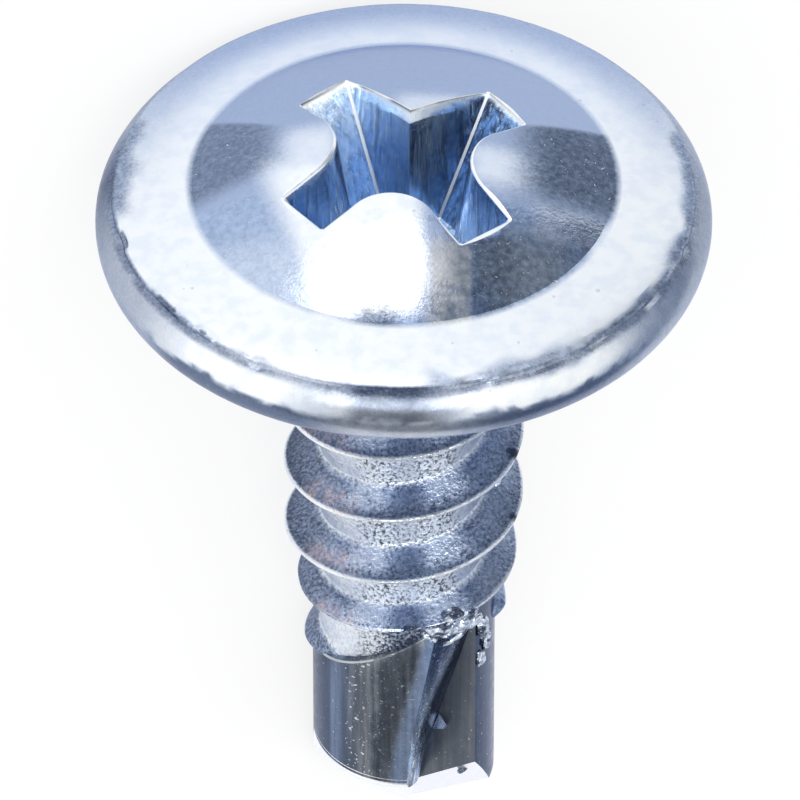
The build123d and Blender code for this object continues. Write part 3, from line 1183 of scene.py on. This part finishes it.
def thread_finish(co):
    """The groove's floor is bright and pitted, the flanks get painted shade and light, and the crest is
    worn.
    """
    radius = co.xy.length
    azimuth = azimuth_of(co)
    floor = 1 - blend(radius, root_r + 0.01, root_r + 0.06)
    crest_r = along(crest_stations, co.z)
    crest = blend(radius, crest_r - 0.035, crest_r - 0.015)
    middle = 1 - blend(abs(azimuth - 6), 12, 45)
    # Two stretches of painted light on the flanks, where the crystals are also coarser.
    light = sum(1 - blend(abs(azimuth - place), 6, 20) for place in lit_flank_azimuths)
    light *= 1 - blend(radius, 1.70, 2.00)
    wander = 0.5 + 0.9 * noise.noise(co * 6)
    light *= min(1 + 0.6 * noise.noise(co * 11), 1)
    flank = (1 - floor) * (1 - crest)
    # Painted shade on the flanks, darker on the left and towards the crest.
    flank_shade = 0.46 + 0.22 * blend(-azimuth, 40, 65) + 0.16 * blend(radius, 1.72, 1.95)
    pit = max(1 - blend((co - outward(a) * radius - Vector((0, 0, z))).length, 0.05, 0.14)
              for a, z in thread_pits)
    tarnish = 0.7 * (1 - blend(abs(azimuth - tarnish_azimuth), 8, 22))
    tarnish *= (1 - floor) * blend(radius, 1.6, 1.75)
    torn = blend(-co.z, 6.9, 7.2) * blend(azimuth, -22, -5) * (1 - blend(azimuth, 60, 80))
    grain = 0.9 + 2.2 * light + floor * (0.6 + 0.9 * middle * (0.7 + noise.noise(co * 3)))
    blue = floor * (0.18 + 0.5 * torn) + flank * (0.95 - 0.40 * light)
    dull_and_shade = floor * (0.15 + 0.13 * middle + 0.45 * torn) + flank_shade * flank * (1 - 0.88 * light) + pit
    return 0.28 + 0.1 * floor, grain, blue, dull_and_shade, tarnish * max(wander, 0), 0.0


print("groove, at the front:", rounded(thread_finish(Vector((0, -root_r, -3.7)))))

# %% [markdown]
# ### The drill
# The outside of the drill, its land, has stripes of painted shade along it, and a painted light one beside
# the heel. The wall of the flute is painted dark, as shade, and gets a little lighter and more scratched
# towards the tip. The stripes could be a texture. A list by azimuth, as for the rim, does it with fewer
# numbers, and the light stripe can follow the heel, which isn't straight.

# %% Finish of the drill and the flutes
land_tones = [               # azimuth, painted shade on the land of the drill
    (-90, 1.05), (-58, 1.05), (-52, 0.72), (-46, 0.72), (-40, 1.00), (-28, 1.00), (-18, 0.86), (30, 0.88),
]
olive_azimuths = (-46, -26)  # from here towards the heel the land is painted less blue, as a reflection
heel_places = [(z, azimuth) for z, azimuth, _, _ in reversed(wall_stations)]
heel_stripe = [(-10.5, 15), (-7.5, 9)]   # height, width in degrees of the painted light stripe along the heel


def drill_finish(co):
    """The land has stripes of painted shade along it, and one of painted light beside the heel."""
    rough, grain, blue, _, pink, streak = region_finish["drill"]
    azimuth = azimuth_of(co)
    azimuth = azimuth if azimuth < 35 else azimuth - 180
    from_heel = along(heel_places, co.z) - azimuth
    width = along(heel_stripe, co.z)
    stripe = 1 - blend(from_heel, 0.5 * width, width)
    # Towards the heel the land is painted less blue, as a reflection.
    blue *= 1 - blend(azimuth, *olive_azimuths)
    specks = 0.2 * blend(azimuth, -42, -36) * (1 - 0.3 * blend(azimuth, -30, -20))
    # Painted shade in stripes along the land, lightened by the painted light stripe.
    dull_and_shade = along(land_tones, azimuth) - 0.50 * stripe
    return rough, grain, max(blue, 0.85 * stripe), dull_and_shade, pink, streak + specks


def flute_finish(co):
    """The wall's painted shade gets a little lighter towards the tip, where it is more scratched."""
    rough, grain, blue, dull_and_shade, pink, streak = region_finish["flute"]
    low = blend(-co.z, 9.0, 10.8)
    return rough, grain + 0.4 * low, blue, dull_and_shade - 0.14 * low, pink, streak + 0.5 * low


print("land, at the heel:", rounded(drill_finish(Vector((0, -drill_r, -10)))))

# %% [markdown]
# ### The recess
# Liquid stands in the recess after plating, so its film is deep blue, with streaks down the walls. The lip
# is bright in front, has a dark line at the back, and is crushed round the point. The walls get painted
# shade that differs from side to side. The depth under the dome tells the lip from the walls. The narrow
# chamfers in the wings' ends are painted white, as a highlight.

# %% Finish of the recess
left_wing = 1                # the wing at the back left: its end is bare towards the top
left_wing_way = outward(recess_azimuth + 90)   # the angles of the cross run from +X


def crushed_share(co):
    """How crushed the lip is: most at the point, and a little in the left wing."""
    crushed = blend(co.y, 0.5, 0.7) * (1 - blend(abs(co.x - 0.35), 0.55, 0.90))
    crushed += 0.7 * blend(-co.x, 0.85, 1.1) * (1 - blend(co.y, -0.1, 0.15))
    return crushed * (1 + 1.3 * noise.noise(Vector((co.x * 8, co.y * 8, co.z * 2))))


def recess_finish(co):
    """The lip is bright in front, with a dark line at the back. The walls get painted shade that differs
    from side to side.
    """
    rough, grain, blue, dull_and_shade, pink, streak = region_finish["recess"]
    depth = dome_height(min(co.xy.length, dome_r)) - co.z
    back = blend(co.y, 0.2, 0.7)
    crushed = crushed_share(co)
    bright = 1 - blend(depth, 0.03 + 0.03 * back + 0.09 * crushed, 0.05 + 0.04 * back + 0.24 * crushed)
    dark_by_edge = back * blend(depth, 0.006, 0.018) * (1 - blend(depth, 0.03, 0.05))
    dark_by_edge *= min(max(0.8 + 1.6 * noise.noise(co * 4), 0), 1)
    beyond_end = co.xy.dot(left_wing_way.xy) - wing_reach(left_wing, co.z)
    film = (1 - bright) * (1 - blend(beyond_end, -0.05, -0.02) * blend(co.z, 0.50, 1.05))
    front, right = 1 - blend(co.y, -0.2, 0.4), blend(co.x, 0.5, 1.0)
    right_end = blend(co.x, 0.9, 1.3)
    # Painted shade: the front walls are darker, more so on the right and on the floor; at the back the
    # right wing is darker, and the back walls are painted a little less blue.
    dull_and_shade += front * (0.10 + 0.14 * right + 0.3 * (1 - blend(co.z, -0.15, 0.15)))
    dull_and_shade += (1 - front) * (0.30 * right + 0.3 * right_end)
    blue *= 1 - (1 - front) * (0.16 * (1 - right) + 0.25 * right_end)
    return rough + 0.1 * bright, grain, blue * film, max(dull_and_shade * film, dark_by_edge), pink, streak * (1 - bright)


def corner_finish(co):
    """A painted highlight along the chamfers in the recess, and a duller line round the drill's top."""
    rough, grain, blue, dull_and_shade, pink, streak = region_finish["corner"]
    return rough, grain, blue, dull_and_shade + (0.45 - dull_and_shade) * blend(-co.z, 1, 2), pink, streak


print("back wall of the recess:", rounded(recess_finish(Vector((0.2, 0.5, 0.8)))))

# %% [markdown]
# ### The burrs
# Torn steel is bright where it was rubbed, and shade is painted in its folds. The folds could be measured,
# as places that face each other. Noise looks the same and takes one line, so noise decides where a fold
# is. The shard low in the flute was out of reach of any rubbing: it is pale and even.

# %% Finish of the burrs
shard_top = -9               # below this height there are only the shard and the lowest flake


def burr_finish(co):
    """Torn steel is bright, with painted shade in its folds. The shard low in the flute is pale and even.
    """
    rough, grain, blue, dull_and_shade, pink, streak = region_finish["burr"]
    if co.z < shard_top:
        return rough, 0.05, 0.6, 0.35 + 0.5 * blend(-co.z, 10.5, 11), pink, streak
    # Painted shade in the folds, which noise places.
    fold_shade = blend(noise.noise(co * 6.5), 0.02, 0.28)
    return rough, grain, blue + 0.4 * fold_shade, dull_and_shade + 0.75 * fold_shade, pink, streak


print("a flake:", rounded(burr_finish(Vector((0.6, -1.5, -7.4)))))

# %% [markdown]
# ### Write it on the mesh
# The numbers go on the corners of the faces, in one layer each, which a material can read by
# name. Two faces that share a point may belong to two regions, so the same point can have two
# values. The place on the standing screw, in millimetres, goes on the points: the patterns of
# the material are laid out in it, and so they stay on the metal however the screw lies.

# %% Write the finish
placed_finish = {"head": head_finish, "thread": thread_finish, "drill": drill_finish,
                 "flute": flute_finish, "recess": recess_finish, "corner": corner_finish,
                 "burr": burr_finish}


def write_finish(form):
    """Puts the six numbers on the corners of the faces, and the standing place on the points."""
    names = list(regions)
    region_layer = form.faces.layers.int["region"]
    layers = [form.loops.layers.float.new(name) for name in finish_names]
    place = form.verts.layers.float_vector.new("standing")
    known = {}
    for face in form.faces:
        region = names[face[region_layer]]
        for loop in face.loops:
            key = (region, loop.vert.index)
            if key not in known:
                finish_here = placed_finish.get(region)
                known[key] = finish_here(loop.vert.co) if finish_here else region_finish[region]
            for layer, value in zip(layers, known[key]):
                loop[layer] = value
    for vert in form.verts:
        vert[place] = vert.co


print("regions with one finish all over:", ", ".join(r for r in regions if r not in placed_finish))

# %% [markdown]
# ## Triangles
# The shape is done. Its faces become triangles, so that no later step has to choose how to split
# them. In a crease the Booleans can leave a face that is folded onto its neighbour: both then
# get the same triangle, one facing up and one facing down. Such pairs enclose nothing and are
# taken away, which leaves the shell closed.

# %% Make triangles
def as_triangles(form):
    """Makes every face a triangle and takes away pairs of triangles that lie on each other."""
    bmesh.ops.triangulate(form, faces=form.faces)
    same = {}
    for face in form.faces:
        same.setdefault(frozenset(face.verts), []).append(face)
    pairs = [face for faces in same.values() if len(faces) > 1 for face in faces]
    bmesh.ops.delete(form, geom=pairs, context="FACES")
    form.verts.index_update()
    return len(pairs)


folded = as_triangles(screw)
report("triangles", screw)
print("taken away:", folded)

# %% [markdown]
# ## Lay the screw down
# The finish is written while the points still have their standing place. Then the matrix of the
# first steps lays the mesh down. Only the mesh is moved: the object itself stays at the origin.
# Faces are shaded smooth, but an edge that turns by more than the crease angle stays crisp.

# %% Lay the screw down
crease_deg = 16


def finished(form, name):
    """The piece on the table, smooth but for its creases."""
    write_finish(form)
    bmesh.ops.transform(form, matrix=lay_down, verts=form.verts)
    piece = as_object(form, name)
    for face in piece.data.polygons:
        face.use_smooth = True
    piece.data.set_sharp_from_angle(angle=math.radians(crease_deg))
    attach(piece, "root")
    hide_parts("screw")
    return piece


zinc_screw = finished(screw, "zinc_screw")
print(zinc_screw.name, "is", rounded(zinc_screw.dimensions / mm), "mm")

# %% [markdown]
# ## Tools for materials
# A material is a small network of nodes. Made by hand in code, it takes four lines a node, so a
# few helpers come first: one sets or links the inputs of a node, one makes a node, and the
# others name what is used often.

# %% Node helpers
def feed(tree, shader, **inputs):
    """Sets or links inputs. They go by name, with _ for a space, or by number, as i0 and i1."""
    for name, value in inputs.items():
        number = name[1:]
        socket = shader.inputs[int(number) if number.isdigit() else name.replace("_", " ")]
        if isinstance(value, bpy.types.NodeSocket):
            tree.links.new(value, socket)
        elif socket.type == "RGBA":
            socket.default_value = (*value, 1)
        else:
            socket.default_value = value


def node(tree, kind, settings=None, **inputs):
    """A new shader node."""
    made = tree.nodes.new("ShaderNode" + kind)
    for name, value in (settings or {}).items():
        setattr(made, name, value)
    feed(tree, made, **inputs)
    return made


def math_node(tree, operation, a, b):
    """The result of a sum on two numbers."""
    return node(tree, "Math", {"operation": operation}, i0=a, i1=b).outputs[0]


def plus(tree, a, b):
    """One number and another."""
    return math_node(tree, "ADD", a, b)


def times(tree, a, b):
    """One number times another."""
    return math_node(tree, "MULTIPLY", a, b)


def ramp(tree, value, low, high, to_low=0.0, to_high=1.0):
    """Smoothly from one number to another, as a value goes from low to high."""
    return node(tree, "MapRange", {"interpolation_type": "SMOOTHSTEP"}, Value=value, From_Min=low,
                From_Max=high, To_Min=to_low, To_Max=to_high).outputs[0]


def mixed(tree, share, a, b, how="MIX"):
    """A colour between two colours, or another mixture of them."""
    settings = {"data_type": "RGBA", "blend_type": how}
    return node(tree, "Mix", settings, i0=share, i6=a, i7=b).outputs[2]


def noise_at(tree, place, scale, detail=2.0):
    """Noise with so many lumps a millimetre, around one half."""
    return node(tree, "TexNoise", Vector=place, Scale=scale, Detail=detail).outputs["Fac"]


def attribute(tree, name):
    """The attribute node of a layer on the mesh."""
    return node(tree, "Attribute", {"attribute_name": name})


def new_material(name):
    """A material with its node tree and its main shader."""
    material = bpy.data.materials.new(name)
    material.use_nodes = True
    return material, material.node_tree, material.node_tree.nodes["Principled BSDF"]


print("node helpers:", ", ".join(
    helper.__name__ for helper in (feed, node, plus, times, ramp, mixed, noise_at, attribute)))

# %% [markdown]
# ## Zinc plate
# Bright zinc with a thin blue passivation: a metal, bluish, not a mirror. It could be one shader with one
# colour, but then every place would look the same. It is built up in layers instead, as the real finish
# is: the metal and its film, what dulls them together with the painted shade and highlights, the marks on
# top, and the relief.
# The layers share a few patterns and the six numbers, so those come first.

# %% Patterns of the zinc
# Pure white: no shade at all, and the colour of a painted highlight.
pure_white = (1.0, 1.0, 1.0)
bright_color = (0.95, 0.97, 1.00)
crystal_scale = 17.0         # lumps a millimetre
fine_scale = 42.0
streak_scale = (9.0, 9.0, 0.5)   # the streaks run along the screw's axis
hair_scale = (24.0, 24.0, 1.0)   # and so do the fine lines


def stretched(tree, place, stretch):
    """The place, scaled by a different factor along each axis."""
    return node(tree, "VectorMath", {"operation": "MULTIPLY"}, i0=place, i1=stretch).outputs[0]


def zinc_patterns(tree):
    """The six numbers, the standing place, and the patterns that several layers use."""
    found = {name: attribute(tree, name).outputs["Fac"] for name in finish_names}
    found["place"] = attribute(tree, "standing").outputs["Vector"]
    found["crystals"] = noise_at(tree, found["place"], crystal_scale, 3.0)
    found["fine"] = noise_at(tree, found["place"], fine_scale, 2.0)
    along_axis = stretched(tree, found["place"], streak_scale)
    found["lines"] = math_node(tree, "SUBTRACT", noise_at(tree, along_axis, 1.0, 4.0), 0.5)
    found["lined"] = times(tree, times(tree, found["lines"], 3.6), found["streak"])
    return found


zinc, zinc_tree, zinc_shader = new_material("zinc_plate")
patterns = zinc_patterns(zinc_tree)
print("patterns:", ", ".join(patterns))

# %% [markdown]
# ### The metal and its film
# Bare zinc is a cool white with faint clouds. The passivation on it is a film that colours it
# blue, deeper where the film is thick. A second film colour stands for the thick places.

# %% Colour of the metal
satin_color = (0.86, 0.91, 0.96)
satin_cloud_color = (0.95, 0.98, 0.99)
passivation_color = (0.47, 0.585, 0.83)
deep_film_color = (0.47, 0.70, 1.00)


def metal_color(tree, p):
    """Satin zinc with faint clouds, under a film that is more or less blue."""
    cloud = noise_at(tree, p["place"], 3.4, 5.0)
    satin = mixed(tree, ramp(tree, cloud, 0.35, 0.60), satin_color, satin_cloud_color)
    film = mixed(tree, p["streak"], passivation_color, deep_film_color)
    return mixed(tree, p["blue"], satin, film)


color = metal_color(zinc_tree, patterns)
print("the metal and its film:", len(zinc_tree.nodes), "nodes so far")

# %% [markdown]
# ### Dullness and painted shade
# Where the film is thick or dirty it swallows light, and the same number carries the shade that is painted
# on the metal. The dullness is a number, but on the metal it follows the crystals and the streaks, so both
# are added before it becomes a shade. Where it is below zero the colour is painted white, as a highlight.

# %% Dullness and painted shade
dull_and_shade_color = (0.11, 0.12, 0.14)


def dulled(tree, p, color):
    """The colour, darkened by dullness, painted shade, the crystals' speckle and the streaks."""
    mixture = plus(tree, times(tree, p["crystals"], 0.7), times(tree, p["fine"], 0.4))
    speckle = times(tree, math_node(tree, "SUBTRACT", mixture, 0.55), p["grain"])
    spread = times(tree, speckle, ramp(tree, p["dull_and_shade"], 0.0, 0.3, 0.0, 2.0))
    darkness = plus(tree, plus(tree, p["dull_and_shade"], spread), p["lined"])
    shade = mixed(tree, ramp(tree, darkness, -0.1, 1.1), pure_white, dull_and_shade_color)
    # Below zero the colour is painted white, as a highlight, on the recess chamfers, the facet and the
    # heel.
    painted_highlight = ramp(tree, p["dull_and_shade"], -0.3, -0.1, 1.0, 0.0)
    return mixed(tree, painted_highlight, mixed(tree, 1.0, color, shade, "MULTIPLY"), pure_white)


color = dulled(zinc_tree, patterns, color)
print("dullness:", len(zinc_tree.nodes), "nodes so far")

# %% [markdown]
# ### Scratches and specks
# On scratched places bright metal shows: broad glints in the streaks, fine lines along the axis
# of the screw, and single specks. Each comes from a noise of which only the highest values are
# used, and each shows only where the streak number asks for it.

# %% Scratches and specks
def scratched(tree, p, color):
    """The colour, with glints, fine lines and specks of bright metal."""
    glint = ramp(tree, times(tree, p["lines"], p["streak"]), 0.09, 0.16)
    color = mixed(tree, times(tree, glint, 0.4), color, bright_color)
    hair = noise_at(tree, stretched(tree, p["place"], hair_scale), 1.0, 2.0)
    scored = times(tree, ramp(tree, hair, 0.60, 0.66), ramp(tree, p["streak"], 0.4, 0.9))
    color = mixed(tree, scored, color, bright_color)
    more = times(tree, ramp(tree, p["streak"], 0.0, 0.3), 0.08)
    spark = ramp(tree, plus(tree, p["crystals"], more), 0.72, 0.75)
    spark = times(tree, spark, ramp(tree, p["streak"], 0.02, 0.08))
    return mixed(tree, times(tree, spark, 0.6), color, bright_color)


color = scratched(zinc_tree, patterns, color)
print("scratches and specks:", len(zinc_tree.nodes), "nodes so far")

# %% [markdown]
# ### Tarnish and pits
# A little pink tarnish lies between the crystals, and small pits are strewn over the plating.
# The pits are the middles of Voronoi cells, and noise gives each neighbourhood its own size.

# %% Tarnish and pits
tarnish_color = (0.85, 0.60, 0.55)
pit_color = (0.30, 0.34, 0.42)
pit_scale = 2.6              # places for a pit a millimetre
pit_size_most = 0.12         # as a share of the distance between two such places


def tarnished(tree, p, color):
    """The colour, with pink tarnish and dark pits."""
    pink = times(tree, p["pink"], ramp(tree, p["fine"], 0.4, 0.62))
    color = mixed(tree, pink, color, tarnish_color)
    pits = node(tree, "TexVoronoi", {"feature": "F1"}, Vector=p["place"], Scale=pit_scale,
                Randomness=1.0)
    pit_size = ramp(tree, noise_at(tree, p["place"], 3.0), 0.40, 0.70, 0.0, pit_size_most)
    in_pit = math_node(tree, "LESS_THAN", pits.outputs["Distance"], pit_size)
    return mixed(tree, times(tree, in_pit, 0.35), color, pit_color)


feed(zinc_tree, zinc_shader, Base_Color=tarnished(zinc_tree, patterns, color))
print("tarnish and pits:", len(zinc_tree.nodes), "nodes so far")

# %% [markdown]
# ### Relief and gloss
# The crystals are a few hundredths of a millimetre wide. On a polished place they show only
# where a bright reflection meets a dark one, so they are bump and not colour. The roughness
# wanders a little, and metal loses some of its colour at a grazing angle, which is what the
# specular tint of a metallic shader sets.

# %% Relief and gloss
edge_tint = (0.80, 0.83, 0.93)
bump_height = 9e-6           # metres


def relief(tree, p):
    """The height of the crystals and of the streaks."""
    crystals = plus(tree, p["crystals"], times(tree, p["fine"], 0.35))
    return plus(tree, times(tree, crystals, p["grain"]), times(tree, p["lined"], 0.3))


uneven = ramp(zinc_tree, noise_at(zinc_tree, patterns["place"], 7.0, 3.0), 0.3, 0.7, -0.05, 0.06)
bump = node(zinc_tree, "Bump", Height=relief(zinc_tree, patterns), Strength=1.0, Distance=bump_height)
feed(zinc_tree, zinc_shader, Roughness=plus(zinc_tree, patterns["rough"], uneven), Metallic=1.0,
     Specular_Tint=edge_tint, Normal=bump.outputs["Normal"])
zinc_screw.data.materials.append(zinc)
print(zinc.name, "has", len(zinc_tree.nodes), "nodes")

# %% [markdown]
# ## The table
# The screw lies on a plain white table. A shadow on it would be grey all round the screw, as
# little light gets under it. A lighter, softer shadow suits a product shot, so the table is
# partly a white that no shadow reaches, seen directly and, less so, in the metal.

# %% Table
white = (1.0, 1.0, 1.0)
table_color = (0.9, 0.9, 0.9)
table_size = 1.2             # metres
shadow_kept_for_camera = 0.22
shadow_kept_for_gloss = 0.75


def add_table():
    """A large plain table."""
    form = bmesh.new()
    bmesh.ops.create_grid(form, x_segments=1, y_segments=1, size=table_size / 2)
    table = as_object(form, "table")
    paint, tree, shader = new_material("table_paint")
    feed(tree, shader, Base_Color=table_color, Roughness=0.9, Specular_IOR_Level=0.1)
    ray = node(tree, "LightPath").outputs
    glow = node(tree, "Emission", Color=white, Strength=1.0).outputs[0]
    seen = times(tree, ray["Is Camera Ray"], 1 - shadow_kept_for_camera)
    mirrored = times(tree, ray["Is Glossy Ray"], 1 - shadow_kept_for_gloss)
    both = node(tree, "MixShader", i0=plus(tree, seen, mirrored), i1=shader.outputs[0], i2=glow)
    feed(tree, tree.nodes["Material Output"], Surface=both.outputs[0])
    table.data.materials.append(paint)
    return table


table = add_table()
print("the table is", rounded(table.dimensions), "m")

# %% [markdown]
# ## The surroundings
# Polished metal shows little but its surroundings, so they matter more than the lamp. They could
# be a room full of panels. It is simpler to paint them on the world, as soft discs in given
# directions: mostly white, with a bluish shade low down, a window, and a few dark things, as any
# room has. The camera itself sees plain white.

# %% World
low_shade = (0.30, 0.36, 0.48)
discs = [                    # name, azimuth, elevation, bright or dark up to, gone from, colour
    ("ceiling", 0, 90, 48, 62, white),
    ("left_wall", 85, 12, 38, 52, (1.15, 1.15, 1.15)),
    ("window", 4, 5, 10, 22, (2.6, 2.5, 2.4)),
    ("camera_stand", -32, 18, 9, 16, (0.50, 0.49, 0.45)),
    ("door", -57, -6, 12, 22, (0.06, 0.08, 0.12)),
    ("back_wall", 165, 5, 22, 34, (0.30, 0.32, 0.36)),
]


def towards(azimuth, elevation):
    """Unit vector to a place round the table. The azimuth runs from +X towards +Y."""
    a, e = math.radians(azimuth), math.radians(elevation)
    return Vector((math.cos(a) * math.cos(e), math.sin(a) * math.cos(e), math.sin(e)))


def add_world():
    """The surroundings: a plain colour with soft discs over it, and white for the camera."""
    world = bpy.data.worlds.new("studio")
    world.use_nodes = True
    bpy.context.scene.world = world
    tree = world.node_tree
    direction = node(tree, "TexCoord").outputs["Generated"]
    color = low_shade
    for _, azimuth, elevation, inner, outer, paint in discs:
        middle = towards(azimuth, elevation)
        nearness = node(tree, "VectorMath", {"operation": "DOT_PRODUCT"}, i0=direction, i1=middle)
        edge = [math.cos(math.radians(angle)) for angle in (outer, inner)]
        color = mixed(tree, ramp(tree, nearness.outputs["Value"], *edge), color, paint)
    seen = mixed(tree, node(tree, "LightPath").outputs["Is Camera Ray"], color, white)
    feed(tree, tree.nodes["Background"], Color=seen)


add_world()
print("surroundings:", ", ".join(disc[0] for disc in discs))

# %% [markdown]
# ## The lamp
# One large square lamp, high up and to one side, gives the screw its soft shadow. A small lamp
# would give a hard one, and a sharp white dot on every curve.

# %% Lamp
def add_lamp(name, azimuth, elevation, distance, size, power):
    """A square area lamp that looks at the screw."""
    light = bpy.data.lights.new(name, "AREA")
    light.shape = "SQUARE"
    light.size = size
    light.energy = power
    lamp = bpy.data.objects.new(name, light)
    lamp.location = towards(azimuth, elevation) * distance
    lamp.rotation_euler = lamp.location.to_track_quat("Z", "Y").to_euler()
    bpy.context.scene.collection.objects.link(lamp)
    return lamp


lamp = add_lamp("softbox", azimuth=62, elevation=62, distance=0.25, size=0.14, power=0.26)
bpy.context.scene.view_settings.view_transform = "Standard"
print("the lamp hangs at", rounded(lamp.location, 3))
